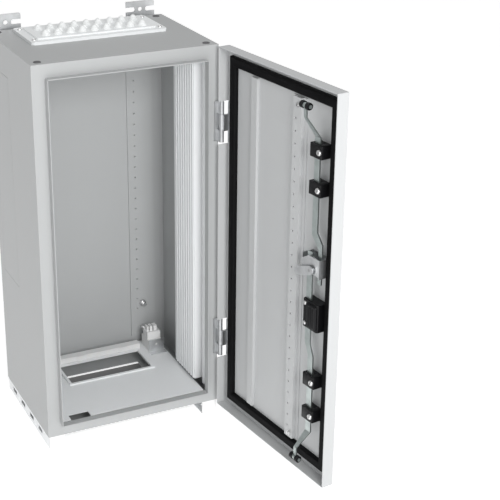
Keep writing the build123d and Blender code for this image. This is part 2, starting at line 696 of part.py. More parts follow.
def rack(edge_u, side, w0, w1, phase_w):
    """Rack teeth out from a rod's edge. side is +1 towards the free edge; one tooth lies on phase_w."""
    slope = tan(radians(PRESSURE_ANGLE)) * MODULE
    root = TOOTH_PITCH / 4 + slope * DEDENDUM - BACKLASH / 2
    tip = TOOTH_PITCH / 4 - slope * ADDENDUM - BACKLASH / 2
    height = (DEDENDUM + ADDENDUM) * MODULE
    first = int((w0 - phase_w) / TOOTH_PITCH) if w0 > phase_w else -int((phase_w - w0) / TOOTH_PITCH)
    teeth = []
    for k in range(first, int((w1 - phase_w) / TOOTH_PITCH) + 1):
        w = phase_w + k * TOOTH_PITCH
        inside = edge_u - side * 0.5
        teeth.append(
            door_outline([
                (inside, w - root), (edge_u, w - root), (edge_u + side * height, w - tip),
                (edge_u + side * height, w + tip), (edge_u, w + root), (inside, w + root),
            ])
        )
    return [prism_y(tooth, ROD_FRONT, ROD_BACK) for tooth in teeth]


def flat_rod(left, right, profile):
    """A flat bar: its outline on the door, cut to its cranked side profile."""
    slab = prism_y(door_outline(left + right[::-1]), ROD_FRONT - 2, ROLLER_Y + 12)
    side = Polygon(*[(y, FOOT + w) for y, w in profile], align=None)
    return slab & prism_x(side, -HALF_W, HALF_W)


def crank_profile(w_straight_end, w_foot, w_bend, w_tip):
    """Side profile of a rod that runs flat from w_straight_end, then cranks back to the rollers."""
    back_y, half = ROLLER_Y, ROD_THICK / 2
    return [
        (ROD_FRONT, w_straight_end), (ROD_FRONT, w_foot), (back_y - half, w_bend), (back_y - half, w_tip),
        (back_y + half, w_tip), (back_y + half, w_bend), (ROD_BACK, w_foot), (ROD_BACK, w_straight_end),
    ]


def roller_lug(w):
    """The eye at a rod's tip, with the rollers' pin through it."""
    x, z = door_x(ROLLER_U), FOOT + w
    eye = rod_x(x - LUG_WIDTH / 2, x + LUG_WIDTH / 2, ROLLER_Y, z, ROLLER_R - 2)
    reach = LUG_WIDTH / 2 + 0.5 + ROLLER_THICK + 0.5
    pin = rod_x(x - reach - 1.5, x + reach + 1.5, ROLLER_Y, z, ROLLER_PIN_R)
    heads = [rod_x(x0, x0 + 1.5, ROLLER_Y, z, 3.4) for x0 in (x - reach - 1.5, x + reach)]
    return eye + pin + heads


def lower_rod():
    """The rod from the idler down through the lock to the bottom rollers."""
    tip, foot_w, bend_w = LOWER_ROLLER_W, 96.0, LOWER_ROLLER_W + 22
    top = BRACKET_W + ROD_TRAVEL + 10
    half, lug = ROD_WIDTH / 2, LUG_WIDTH / 2
    left = [
        (ROLLER_U - lug, tip), (ROLLER_U - lug, bend_w), (GUIDE_U - half, foot_w),
        (GUIDE_U - half, CASE_W - 88), (CASE_ROD_U - half, CASE_W - 64), (CASE_ROD_U - half, top),
    ]
    right = [
        (ROLLER_U + lug, tip), (ROLLER_U + lug, bend_w), (GUIDE_U + half, foot_w),
        (GUIDE_U + half, CASE_W - 88), (CASE_ROD_U + half, CASE_W - 64), (CASE_ROD_U + half, top),
    ]
    rod = flat_rod(left, right, crank_profile(top, foot_w, bend_w, tip))
    rod += rack(CASE_RACK_U, 1, CASE_W - 5, CASE_W + ROD_TRAVEL + 5, CASE_W)
    rod += rack(CASE_RACK_U, 1, BRACKET_W - 5, BRACKET_W + ROD_TRAVEL + 5, BRACKET_W)
    return rod + roller_lug(tip)


def upper_rod():
    """The rod from the idler up to the top rollers, jogged sideways above the gear."""
    tip, foot_w, bend_w = UPPER_ROLLER_W, BODY_H - 96.0, UPPER_ROLLER_W - 22
    foot = BRACKET_W - ROD_TRAVEL - 8
    half, lug, strip_u = ROD_WIDTH / 2, LUG_WIDTH / 2, UPPER_RACK_U + 10.5
    jog_w = BRACKET_W + 41
    left = [
        (UPPER_RACK_U, foot), (UPPER_RACK_U, jog_w), (GUIDE_U - half, jog_w + 24),
        (GUIDE_U - half, foot_w), (ROLLER_U - lug, bend_w), (ROLLER_U - lug, tip),
    ]
    right = [
        (strip_u, foot), (strip_u, jog_w + 12), (GUIDE_U + half, jog_w + 32),
        (GUIDE_U + half, foot_w), (ROLLER_U + lug, bend_w), (ROLLER_U + lug, tip),
    ]
    rod = flat_rod(left, right, crank_profile(foot, foot_w, bend_w, tip))
    rod += rack(UPPER_RACK_U, -1, BRACKET_W - ROD_TRAVEL - 5, BRACKET_W + 5, BRACKET_W + TOOTH_PITCH / 2)
    return rod + roller_lug(tip)


def roller_pair(w):
    """Two moulded rollers, one each side of a rod's eye."""
    x, z = door_x(ROLLER_U), FOOT + w
    inner = LUG_WIDTH / 2 + 0.5
    rollers = []
    for side in (-1, 1):
        ends = sorted((x + side * inner, x + side * (inner + ROLLER_THICK)))
        wheel = rod_x(*ends, ROLLER_Y, z, ROLLER_R)
        wheel = fillet(wheel.edges().filter_by(GeomType.CIRCLE), 0.8)
        rollers.append(wheel - rod_x(*ends, ROLLER_Y, z, ROLLER_PIN_R + 0.05))
    return group(rollers)


def spindle():
    """The lock spindle, with its pinion in the rods' plane."""
    x, z = door_x(PINION_U), FOOT + CASE_W
    shaft = rod_y(x, z, DOOR_FRONT - 14, DOOR_REAR - 3.5, SPINDLE_R)
    return shaft + gear(PINION_U, CASE_W, PINION_TEETH, 180 / PINION_TEETH)


def lever():
    """The outside lever, standing level when the lock is drawn back."""
    x, z = door_x(PINION_U), FOOT + CASE_W
    y0, y1 = DOOR_FRONT - 30, DOOR_FRONT - 14
    hub = rod_y(x, z, y0, y1, 15)
    grip = prism_y(Pos(x + 55, z) * SlotOverall(126, 22), y0, y0 + 10)
    return hub + grip


def side_tongue():
    """The latch tongue on the idler's arbor, turned back towards the hinge side at rest."""
    x, z = door_x(IDLER_U), FOOT + BRACKET_W
    y0 = FRONT + 4
    arm = prism_y(SlotOverall(58, 18), y0, y0 + 3)
    arm = Pos(x, 0, z) * Rot(0, TONGUE_TURN, 0) * Pos(TONGUE_REACH / 2, 0, 0) * arm
    return arm + rod_y(x, z, DOOR_REAR + 3.5, y0, 6) - rod_y(x, z, DOOR_REAR + 3, y0 + 3, IDLER_PIN_R)


def idler():
    """The idler gear that turns the lower rod's travel round for the upper rod, on its arbor."""
    x, z = door_x(IDLER_U), FOOT + BRACKET_W
    arbor = rod_y(x, z, DOOR_FACE, FRONT + 7, IDLER_PIN_R)
    return arbor + gear(IDLER_U, BRACKET_W, IDLER_TEETH, 180 / IDLER_TEETH)


def build():
    keep("front_frame", front_frame())
    for side, word in ((-1, "left"), (1, "right")):
        keep(f"side_wall_{word}", side_wall(side))
        keep(f"side_cover_{word}", side_cover(side))
        keep(f"side_liner_{word}", side_liner(side))
        keep(f"front_upright_{word}", front_upright(side))
        keep(f"base_rail_{word}", base_rail(side))
    keep("roof", roof())
    keep("roof_plugs", group([roof_plugs()]))
    keep("floor_pan", floor_pan())
    keep("back_panel", back_panel())
    keep("gland_frame", gland_frame())
    keep("gland_plate", gland_plate())
    keep("gland_screws", gland_screws())
    keep("cable_grommets", cable_grommets())
    keep("floor_plate", floor_plate())
    keep("entry_collar", entry_collar())
    keep("entry_bar", entry_bar())
    keep("terminal_block", terminal_block())
    keep("terminal_foot", terminal_foot())
    keep("rear_studs", rear_studs())
    keep("rail_caps", rail_caps())
    for word, (z, rise) in zip(("top", "bottom"), WALL_LUG_ROWS):
        keep(f"wall_lugs_{word}", wall_lugs(z, rise))
    keep("lug_bolts", lug_bolts())
    keep("catch_top", catch_plate(1.5, 1))
    keep("catch_bottom", catch_plate(1.5, -1))
    keep("catch_side", side_catch())
    for word, z in zip(("bottom", "top"), HINGE_CENTRES):
        keep(f"hinge_frame_half_{word}", hinge_frame_half(z))
        keep(f"hinge_pin_{word}", hinge_pin(z))
        keep(f"hinge_door_half_{word}", hinge_door_half(z), on_door=True)
    keep("door_panel", door_panel(), on_door=True)
    keep("door_seal", seal(), on_door=True)
    keep("stiffener_rib", stiffener(), on_door=True)
    keep("perforated_rail", perforated_rail(), on_door=True)
    keep("rail_nuts", rail_nuts(), on_door=True)
    for number, w in enumerate(GUIDE_HEIGHTS, 1):
        keep(f"rod_guide_{number}", rod_guide(w), on_door=True)
    keep("lock_case", lock_case(), on_door=True)
    keep("lock_screws", lock_screws(), on_door=True)
    keep("gear_bracket", gear_bracket(), on_door=True)
    keep("handle_rose", handle_rose(), on_door=True)
    keep("spindle_pinion", spindle(), on_door=True)
    keep("handle_lever", lever(), on_door=True)
    keep("idler_gear", idler(), on_door=True)
    keep("side_tongue", side_tongue(), on_door=True)
    keep("lower_rod", lower_rod(), on_door=True)
    keep("upper_rod", upper_rod(), on_door=True)
    keep("rollers_bottom", roller_pair(LOWER_ROLLER_W), on_door=True)
    keep("rollers_top", roller_pair(UPPER_ROLLER_W), on_door=True)


build()
os.makedirs("parts", exist_ok=True)
for name, shape in made.items():
    export_step(shape, f"parts/{name}.step")
print(len(made), "nodes")
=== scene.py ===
# %% [markdown]
# # A switchboard cabinet with its door open
#
# The object is a sheet steel cabinet that stands on two floor rails. Its door carries a black
# seal, a rod lock with rollers, and the outside lever. The shapes that carry load are loaded
# as a fixed frame, so this lesson adds finishes, light, a camera, and a few finer pieces.
# Every length here is in metres, and +Z is up. The front, which the door closes, faces -Y.

# %% Load the frame
from math import pi, radians

import bmesh
import bpy
from mathutils import Matrix, Vector


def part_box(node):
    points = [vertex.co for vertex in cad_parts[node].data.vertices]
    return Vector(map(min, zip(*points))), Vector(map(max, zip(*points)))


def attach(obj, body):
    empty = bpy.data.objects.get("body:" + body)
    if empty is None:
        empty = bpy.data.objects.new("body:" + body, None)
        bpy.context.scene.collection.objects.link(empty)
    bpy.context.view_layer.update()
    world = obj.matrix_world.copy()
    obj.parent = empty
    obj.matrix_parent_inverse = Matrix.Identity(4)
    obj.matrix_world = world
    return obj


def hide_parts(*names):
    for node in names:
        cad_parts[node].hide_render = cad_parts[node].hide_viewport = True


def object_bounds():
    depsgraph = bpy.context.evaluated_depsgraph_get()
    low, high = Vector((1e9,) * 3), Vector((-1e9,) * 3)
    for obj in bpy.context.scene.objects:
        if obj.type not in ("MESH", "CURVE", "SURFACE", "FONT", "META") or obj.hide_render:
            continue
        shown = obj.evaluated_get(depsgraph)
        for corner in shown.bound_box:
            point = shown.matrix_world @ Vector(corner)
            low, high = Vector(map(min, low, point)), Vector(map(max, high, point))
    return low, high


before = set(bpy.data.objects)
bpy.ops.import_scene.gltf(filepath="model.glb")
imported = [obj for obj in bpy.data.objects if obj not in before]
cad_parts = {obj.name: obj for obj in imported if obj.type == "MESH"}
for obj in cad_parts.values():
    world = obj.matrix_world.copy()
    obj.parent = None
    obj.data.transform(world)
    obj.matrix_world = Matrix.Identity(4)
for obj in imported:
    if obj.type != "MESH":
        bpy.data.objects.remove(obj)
frame_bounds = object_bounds()
print("nodes:", len(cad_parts))

# %% [markdown]
# ## Shader sums that read like arithmetic
#
# A procedural finish is mostly sums on masks: a fleck times a strength, one minus a mask.
# Adding a Math node by hand for each sum takes many lines, so a small class wraps a socket and
# gives it the ordinary operators. A second class holds one material and adds any other node.


# %% A socket that takes part in sums
class Level:
    """A number that changes over a surface, held as the output socket that gives it."""

    def __init__(self, finish, socket):
        self.finish = finish
        self.socket = socket

    def maths(self, operation, first, second):
        return self.finish.node("ShaderNodeMath", {"operation": operation}, {0: first, 1: second})

    def __add__(self, other):
        return self.maths("ADD", self, other)

    def __sub__(self, other):
        return self.maths("SUBTRACT", self, other)

    def __mul__(self, other):
        return self.maths("MULTIPLY", self, other)

    def __rsub__(self, other):
        return self.maths("SUBTRACT", other, self)

    __radd__ = __add__
    __rmul__ = __mul__


# %% One material, built node by node
class Finish:
    """A material in the making. Its patterns read Object coordinates, in metres."""

    def __init__(self, name, colour, roughness, metallic=0.0):
        self.material = bpy.data.materials.new(name)
        self.material.use_nodes = True
        self.tree = self.material.node_tree
        self.shader = self.tree.nodes["Principled BSDF"]
        self.colour = (*colour, 1.0)
        self.give("Base Color", self.colour)
        self.give("Roughness", roughness)
        self.give("Metallic", metallic)
        self.place = self.node("ShaderNodeTexCoord", out="Object")

    def node(self, kind, settings=None, sockets=None, out=0):
        """Adds a node: its settings first, then values or links for its sockets."""
        node = self.tree.nodes.new(kind)
        for key, value in (settings or {}).items():
            if key == "stops":
                for stop, (position, grey) in zip(node.color_ramp.elements, value):
                    stop.position = position
                    stop.color = (grey, grey, grey, 1.0)
            else:
                setattr(node, key, value)
        for key, value in (sockets or {}).items():
            self.fill(node.inputs[key], value)
        return Level(self, node.outputs[out])

    def fill(self, socket, value):
        if isinstance(value, Level):
            self.tree.links.new(value.socket, socket)
        else:
            socket.default_value = value

    def give(self, socket, value):
        """Sets one of the shader's own sockets to a value or a link."""
        self.fill(self.shader.inputs[socket], value)

    def noise(self, scale, detail=2.0, stretch=(1, 1, 1)):
        """Noise of about 0 to 1 over Object coordinates, drawn out along an axis where stretch is under 1."""
        where = self.node("ShaderNodeMapping", sockets={"Vector": self.place, "Scale": stretch})
        return self.node("ShaderNodeTexNoise", sockets={"Vector": where, "Scale": scale, "Detail": detail})

    def step(self, value, low, high):
        """0 below low, 1 above high, and smooth between."""
        return self.node("ShaderNodeValToRGB", {"stops": [(low, 0.0), (high, 1.0)]}, {"Fac": value})

    def tint(self, mask, other):
        """Mixes the finish's colour towards another by a mask."""
        sockets = {0: mask, 6: self.colour, 7: (*other, 1.0)}
        self.give("Base Color", self.node("ShaderNodeMix", {"data_type": "RGBA"}, sockets, out=2))

    def relief(self, height, depth, strength=1.0):
        """Raises the surface by a height map, depth metres from lowest to highest."""
        sockets = {"Height": height, "Distance": depth, "Strength": strength}
        self.give("Normal", self.node("ShaderNodeBump", sockets=sockets))


# %% [markdown]
# ## The cabinet's finishes
#
# Powder coat is sprayed dry and baked, so it has a fine orange peel: low bumps about a
# millimetre wide, with slightly uneven gloss. A noise that feeds a Bump node gives the peel, and
# the same noise nudges the roughness. The colour stays even, as paint is.


# %% Powder coat
def powder_coat(name, colour, roughness=0.48):
    coat = Finish(name, colour, roughness)
    peel = coat.noise(900, 3)
    patches = coat.noise(14, 2)
    coat.give("Roughness", roughness - 0.05 + 0.1 * peel)
    coat.tint(0.35 * patches, tuple(0.93 * part for part in colour))
    coat.relief(peel, 0.00006, 0.6)
    coat.give("Specular IOR Level", 0.4)
    return coat.material


# The body and the door wear one paint, given here in two tones: darker on the body as painted shade, and
# lighter on the door as painted light.
body_coat_painted_shade = powder_coat("body_powder_coat_painted_shade", (0.47, 0.48, 0.482))
door_coat_painted_light = powder_coat("door_powder_coat_painted_light", (0.57, 0.58, 0.585))
white_coat = powder_coat("white_powder_coat", (0.93, 0.945, 0.955), 0.4)
print("powder coats:", body_coat_painted_shade.name, door_coat_painted_light.name, white_coat.name)

# %% [markdown]
# Moulded plastic is smoother than paint. The mould's spark-eroded surface leaves a fine grain,
# and handling leaves faint duller patches. Black plastic shows its grain in the highlights, so
# the roughness carries more of it than the colour does.


# %% Moulded plastic
def moulded(name, colour, roughness, gloss=0.5, grain=0.00004):
    plastic = Finish(name, colour, roughness)
    speckle = plastic.noise(1400, 2)
    wear = plastic.noise(40, 3)
    plastic.give("Roughness", roughness - 0.06 + 0.08 * speckle + 0.06 * wear)
    plastic.relief(speckle, grain, 0.5)
    plastic.give("Specular IOR Level", gloss)
    return plastic.material


black_plastic = moulded("black_moulding", (0.006, 0.006, 0.007), 0.36, 0.22)
white_plastic = moulded("white_moulding", (0.87, 0.87, 0.865), 0.42)
gland_plastic = moulded("gland_moulding", (0.90, 0.92, 0.925), 0.45)
print("mouldings:", black_plastic.name, white_plastic.name, gland_plastic.name)

# %% [markdown]
# The seal is foamed in place, so its skin is soft and slightly pitted. The cable membranes are
# a smooth soft rubber with a matt skin. Neither has much shine, and the seal is nearly black.


# %% Rubber and foam
def soft_skin(name, colour, roughness, pit_scale, pit_depth, gloss=0.3):
    skin = Finish(name, colour, roughness)
    pits = skin.noise(pit_scale, 4)
    skin.tint(0.5 * pits, tuple(min(1.0, 1.25 * part) for part in colour))
    skin.relief(pits, pit_depth, 0.7)
    skin.give("Specular IOR Level", gloss)
    return skin.material


seal_foam = soft_skin("black_seal_foam", (0.004, 0.004, 0.0045), 0.62, 420, 0.0002, 0.1)
membrane_rubber = soft_skin("white_membrane_rubber", (0.86, 0.88, 0.88), 0.5, 300, 0.00005)
plug_rubber = soft_skin("grey_plug_rubber", (0.12, 0.12, 0.125), 0.6, 500, 0.00008)
print("soft skins:", seal_foam.name, membrane_rubber.name, plug_rubber.name)

# %% [markdown]
# Zinc plating is bright but not polished. It keeps the rolling lines of the sheet, which run
# along the rods, and passivation leaves it very slightly cloudy. The noise is drawn out along Z
# for the rods and is left even for the stamped pieces.


# %% Zinc plated steel
def zinc(name, colour, roughness, stretch, depth=0.00002):
    plate = Finish(name, colour, roughness, 1.0)
    lines = plate.noise(800, 2, stretch)
    cloud = plate.noise(60, 3)
    plate.give("Roughness", roughness - 0.05 + 0.08 * lines + 0.1 * cloud)
    plate.tint(plate.step(cloud, 0.4, 0.75), tuple(0.82 * part for part in colour))
    plate.relief(lines, depth, 0.4)
    return plate.material


rod_zinc = zinc("rolled_zinc", (0.52, 0.57, 0.56), 0.36, (1, 1, 0.03))
stamped_zinc = zinc("stamped_zinc", (0.70, 0.71, 0.72), 0.34, (1, 1, 1))
cast_zinc = zinc("cast_hinge_zinc", (0.60, 0.61, 0.62), 0.34, (1, 1, 1), 0.00008)
bright_screw = zinc("bright_screw_zinc", (0.82, 0.82, 0.82), 0.24, (1, 1, 1))
gear_steel = zinc("gear_steel", (0.55, 0.55, 0.56), 0.36, (1, 1, 1))
zincs = (rod_zinc, stamped_zinc, cast_zinc, bright_screw, gear_steel)
print("zincs:", ", ".join(finish.name for finish in zincs))

# %% [markdown]
# ## Which piece has which finish
#
# Each list below is one finish. A name that ends in a star stands for all the pieces that begin
# with it, such as the guides. The loop stops the lesson if a piece has been left without one.

# %% Give the finishes out
finishes = {
    body_coat_painted_shade: "front_frame side_wall_* side_cover_* roof floor_pan back_panel",
    door_coat_painted_light: "door_panel stiffener_rib perforated_rail",
    white_coat: "side_liner_* front_upright_* floor_plate entry_collar base_rail_*",
    white_plastic: "terminal_block rail_caps entry_bar",
    gland_plastic: "gland_frame gland_plate",
    membrane_rubber: "cable_grommets",
    plug_rubber: "roof_plugs",
    seal_foam: "door_seal",
    black_plastic: "rod_guide_* lock_case rollers_* handle_rose handle_lever",
    rod_zinc: "lower_rod upper_rod",
    stamped_zinc: "gear_bracket side_tongue wall_lugs_* catch_* terminal_foot",
    cast_zinc: "hinge_*",
    bright_screw: "lock_screws rail_nuts lug_bolts gland_screws rear_studs",
    gear_steel: "idler_gear spindle_pinion",
}


def dress(piece, material):
    piece.data.materials.clear()
    piece.data.materials.append(material)


bare = set(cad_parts)
for material, names in finishes.items():
    for pattern in names.split():
        for node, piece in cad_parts.items():
            if node == pattern or (pattern.endswith("*") and node.startswith(pattern[:-1])):
                dress(piece, material)
                bare.discard(node)
if bare:
    raise ValueError("no finish for " + ", ".join(sorted(bare)))
print("finishes:", len(finishes))

# %% [markdown]
# ## Finer pieces
#
# Some pieces are moulded or turned, and their rounded shapes catch the light: the cable nipples,
# the seal's bead, the rod guides, the screws, the roof plugs and the outside lever. Each is made
# here with bmesh operators and stands for the plainer solid in the frame.
#
# The door's pieces are made on the shut door, where everything is square to the axes, and then
# turned open about the hinge pins. `door_matrix` is that turn. Its axis is measured from the
# pins' box in the frame. Its angle isn't measured: it is stated as the 96.8 degrees that the
# frame's door stands open, so it has to be changed by hand if the frame's door is.

# %% Helpers that every piece uses
OPEN_ANGLE = radians(96.8)
SHARP_ANGLE = radians(35)
MERGE_WITHIN = 1e-6

low, high = (Vector(corner) for corner in frame_bounds)
pin_low, pin_high = (Vector(corner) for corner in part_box("hinge_pin_top"))
pin = (pin_low + pin_high) / 2
to_pin = Matrix.Translation((pin.x, pin.y, 0))
door_matrix = to_pin @ Matrix.Rotation(OPEN_ANGLE, 4, "Z") @ to_pin.inverted()
print("hinge axis at x", round(pin.x, 4), "y", round(pin.y, 4))


def shut(node):
    """The (lowest, highest) corners that a node on the door has when the door is shut."""
    back = door_matrix.inverted()
    points = [back @ vertex.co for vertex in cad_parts[node].data.vertices]
    lows = Vector(min(point[axis] for point in points) for axis in range(3))
    return lows, Vector(max(point[axis] for point in points) for axis in range(3))


def piece_from(shape, name, body, material, nodes, on_door=False):
    """Makes a bmesh an object that rides on a body and stands for the nodes."""
    if on_door:
        bmesh.ops.transform(shape, matrix=door_matrix, verts=shape.verts)
    bmesh.ops.recalc_face_normals(shape, faces=shape.faces)
    for face in shape.faces:
        face.smooth = True
    mesh = bpy.data.meshes.new(name)
    shape.to_mesh(mesh)
    shape.free()
    mesh.set_sharp_from_angle(angle=SHARP_ANGLE)
    piece = bpy.data.objects.new(name, mesh)
    bpy.context.collection.objects.link(piece)
    dress(piece, material)
    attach(piece, body)
    if nodes:
        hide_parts(*nodes)
    print(name, "faces", len(mesh.polygons))
    return piece


def turn(shape, profile, place, axis, steps=24):
    """Spins a profile of (radius, height) points about an axis through place, and closes it."""
    before = set(shape.verts)
    first = [shape.verts.new((radius, 0, height)) for radius, height in profile]
    edges = [shape.edges.new(pair) for pair in zip(first, first[1:])]
    bmesh.ops.spin(
        shape, geom=first + edges, cent=(0, 0, 0), axis=(0, 0, 1), angle=2 * pi, steps=steps, use_merge=True
    )
    made = [vertex for vertex in shape.verts if vertex not in before]
    bmesh.ops.remove_doubles(shape, verts=made, dist=MERGE_WITHIN)
    made = [vertex for vertex in made if vertex.is_valid]
    swing = Vector((0, 0, 1)).rotation_difference(Vector(axis)).to_matrix().to_4x4()
    bmesh.ops.transform(shape, matrix=Matrix.Translation(place) @ swing, verts=made)


def soft_box_shape(shape, corner_low, corner_high, radius, segments=2):
    """Adds a box between two corners, with its edges rounded."""
    size = Vector(corner_high) - Vector(corner_low)
    centre = (Vector(corner_high) + Vector(corner_low)) / 2
    matrix = Matrix.Translation(centre) @ Matrix.Diagonal((*size, 1))
    verts = bmesh.ops.create_cube(shape, size=1, matrix=matrix)["verts"]
    edges = {edge for vertex in verts for edge in vertex.link_edges}
    bmesh.ops.bevel(
        shape, geom=list(edges), offset=radius, segments=segments, profile=0.5, affect="EDGES", material=-1
    )


# %% [markdown]
# ## Cable nipples
#
# Each nipple is a stepped rubber dome: a collar, a neck, and a thin tip that the fitter cuts to
# the cable's size. Spinning one profile makes the dome, and the loop sets it down in each place.
# Two rows of large nipples stand in front of and behind a row of small ones.

# %% Spin the nipples
gland_low, gland_high = (Vector(corner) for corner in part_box("gland_plate"))
gland_middle = (gland_low + gland_high) / 2
nipple_high = Vector(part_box("cable_grommets")[1])


def nipple_profile(radius, height):
    """(radius, height) points from the foot inside the plate to the closed tip."""
    return [
        (0.0, -0.0005), (radius, -0.0005), (radius, 0.0012), (0.94 * radius, 0.002), (0.82 * radius, 0.0024),
        (0.78 * radius, 0.5 * height), (0.62 * radius, 0.56 * height), (0.58 * radius, 0.8 * height),
        (0.4 * radius, 0.86 * height), (0.34 * radius, height), (0.0, height),
    ]


LARGE_R, SMALL_R = 0.0095, 0.006
NIPPLE_PITCH = 0.026
NIPPLE_ROWS = ((-0.027, LARGE_R, 9), (-0.003, SMALL_R, 8), (0.022, LARGE_R, 9))
tall = nipple_high.z - gland_high.z
nipples = bmesh.new()
for row_y, radius, count in NIPPLE_ROWS:
    for number in range(count):
        x = NIPPLE_PITCH * (number - (count - 1) / 2)
        place = (x, gland_middle.y + row_y, gland_high.z)
        turn(nipples, nipple_profile(radius, tall * radius / LARGE_R), place, (0, 0, 1), 18)
piece_from(nipples, "membrane_nipples", "cabinet", membrane_rubber, ["cable_grommets"])

# %% [markdown]
# ## The seal
#
# The seal is one closed bead of foam, flat where it sticks to the door and crowned where the
# rim of the cabinet presses in. A flat ring is made by insetting a plane and deleting its middle.
# Extruding the ring gives it thickness, and a wide bevel on its upper edges gives the crown.

# %% Crown the seal
SEAL_WIDTH = 0.020
CROWN_RADIUS = 0.0055
seal_low, seal_high = shut("door_seal")
seal_size = seal_high - seal_low
seal_middle = (seal_low + seal_high) / 2
flat = seal_middle - Vector((0, seal_size.y / 2, 0))

seal = bmesh.new()
stretch = Matrix.Diagonal((seal_size.x, 1, seal_size.z, 1))
upright = Matrix.Translation(flat) @ stretch @ Matrix.Rotation(pi / 2, 4, "X")
bmesh.ops.create_grid(seal, x_segments=1, y_segments=1, size=0.5, matrix=upright)
bmesh.ops.inset_region(
    seal, faces=list(seal.faces), thickness=SEAL_WIDTH, use_even_offset=True, use_boundary=True
)
inside = min(seal.faces, key=lambda face: (face.calc_center_median() - flat).length)
bmesh.ops.delete(seal, geom=[inside], context="FACES")
bmesh.ops.recalc_face_normals(seal, faces=seal.faces)
raised = bmesh.ops.extrude_face_region(seal, geom=list(seal.faces))
lifted = {item for item in raised["geom"] if isinstance(item, bmesh.types.BMVert)}
bmesh.ops.translate(seal, verts=list(lifted), vec=(0, seal_size.y, 0))
bmesh.ops.recalc_face_normals(seal, faces=seal.faces)
seal.normal_update()
crown = [
    edge for edge in seal.edges
    if lifted.issuperset(edge.verts) and min(abs(face.normal.y) for face in edge.link_faces) < 0.5
]
bmesh.ops.bevel(seal, geom=crown, offset=CROWN_RADIUS, segments=4, profile=0.5, affect="EDGES", material=-1)
piece_from(seal, "crowned_seal", "door", seal_foam, ["door_seal"], on_door=True)

# %% [markdown]
# ## Domed screws
#
# A pan head screw is a low dome with a drive in its middle. At this size the dome and a dark
# round drive are what the eye reads, so one profile is spun with a dimple at its middle.

# %% Screw heads on the door and the roof
def screw_head(shape, place, axis, radius, height):
    """A domed head that stands on place and faces along axis, with a dimpled drive."""
    profile = [
        (0.0, -0.0004), (radius, -0.0004), (radius, 0.35 * height), (0.9 * radius, 0.72 * height),
        (0.68 * radius, height), (0.42 * radius, height), (0.36 * radius, 0.3 * height), (0.0, 0.3 * height),
    ]
    turn(shape, profile, place, axis, 20)


GUIDE_HEAD_R, GUIDE_HEAD_RISE, GUIDE_SCREW_IN = 0.0060, 0.0038, 0.0066
CASE_HEAD_R, CASE_HEAD_RISE, CASE_SCREW_IN, CASE_SCREW_Z = 0.004, 0.0020, 0.008, 0.021
ROOF_HEAD_R, ROOF_HEAD_RISE, ROOF_SCREW_IN, ROOF_SCREW_Y = 0.0046, 0.0024, 0.010, 0.048

door_screws = bmesh.new()
for number in range(1, 5):
    guide_low, guide_high = shut(f"rod_guide_{number}")
    place = (guide_low.x + GUIDE_SCREW_IN, guide_high.y - 0.0002, (guide_low.z + guide_high.z) / 2)
    screw_head(door_screws, place, (0, 1, 0), GUIDE_HEAD_R, GUIDE_HEAD_RISE)
case_low, case_high = shut("lock_case")
for side in (-1, 1):
    place = (case_high.x - CASE_SCREW_IN, case_high.y, (case_low.z + case_high.z) / 2 + side * CASE_SCREW_Z)
    screw_head(door_screws, place, (0, 1, 0), CASE_HEAD_R, CASE_HEAD_RISE)
piece_from(
    door_screws, "domed_door_screws", "door", bright_screw, ["lock_screws"], on_door=True
)

roof_screws = bmesh.new()
frame_high = Vector(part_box("gland_frame")[1])
for side in (-1, 1):
    for end in (-1, 1):
        place = (side * (frame_high.x - ROOF_SCREW_IN), gland_middle.y + end * ROOF_SCREW_Y, frame_high.z)
        screw_head(roof_screws, place, (0, 0, 1), ROOF_HEAD_R, ROOF_HEAD_RISE)
piece_from(roof_screws, "domed_roof_screws", "cabinet", bright_screw, ["gland_screws"])

# %% [markdown]
# ## Roof plugs
#
# A rubber plug closes each lifting eye hole. It is a low mushroom, softer than the roof.

# %% Spin the plugs
plug_low, plug_high = (Vector(corner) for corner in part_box("roof_plugs"))
PLUG_R = 0.0075
plugs = bmesh.new()
roof_top = max(vertex.co.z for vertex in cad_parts["roof"].data.vertices)
plug_profile = [
    (0.0, -0.004), (0.0048, -0.004), (0.0048, 0.0), (PLUG_R, 0.0), (PLUG_R, 0.0007), (0.92 * PLUG_R, 0.0014),
    (0.6 * PLUG_R, 0.0019), (0.5 * PLUG_R, 0.0014), (0.0, 0.0013),
]
for x in (plug_low.x + PLUG_R, plug_high.x - PLUG_R):
    for y in (plug_low.y + PLUG_R, plug_high.y - PLUG_R):
        turn(plugs, plug_profile, (x, y, roof_top), (0, 0, 1))
piece_from(plugs, "mushroom_plugs", "cabinet", plug_rubber, ["roof_plugs"])

# %% [markdown]
# ## The outside lever
#
# On the door's outer face a round rose holds the spindle, and a lever turns it. A spun rose has a
# soft shoulder, and the lever is a bevelled bar with a turned hub.

# %% Rose and lever
rose_low, rose_high = shut("handle_rose")
rose_middle = (rose_low + rose_high) / 2
rose_r = (rose_high.x - rose_low.x) / 2
rose_deep = rose_high.y - rose_low.y
rose = bmesh.new()
rose_profile = [
    (0.0054, 0.0), (rose_r, 0.0), (rose_r, 0.45 * rose_deep), (0.95 * rose_r, 0.72 * rose_deep),
    (0.82 * rose_r, 0.92 * rose_deep), (0.7 * rose_r, rose_deep), (0.0054, rose_deep), (0.0054, 0.0),
]
turn(rose, rose_profile, (rose_middle.x, rose_high.y, rose_middle.z), (0, -1, 0), 40)
piece_from(rose, "turned_rose", "door", black_plastic, ["handle_rose"], on_door=True)

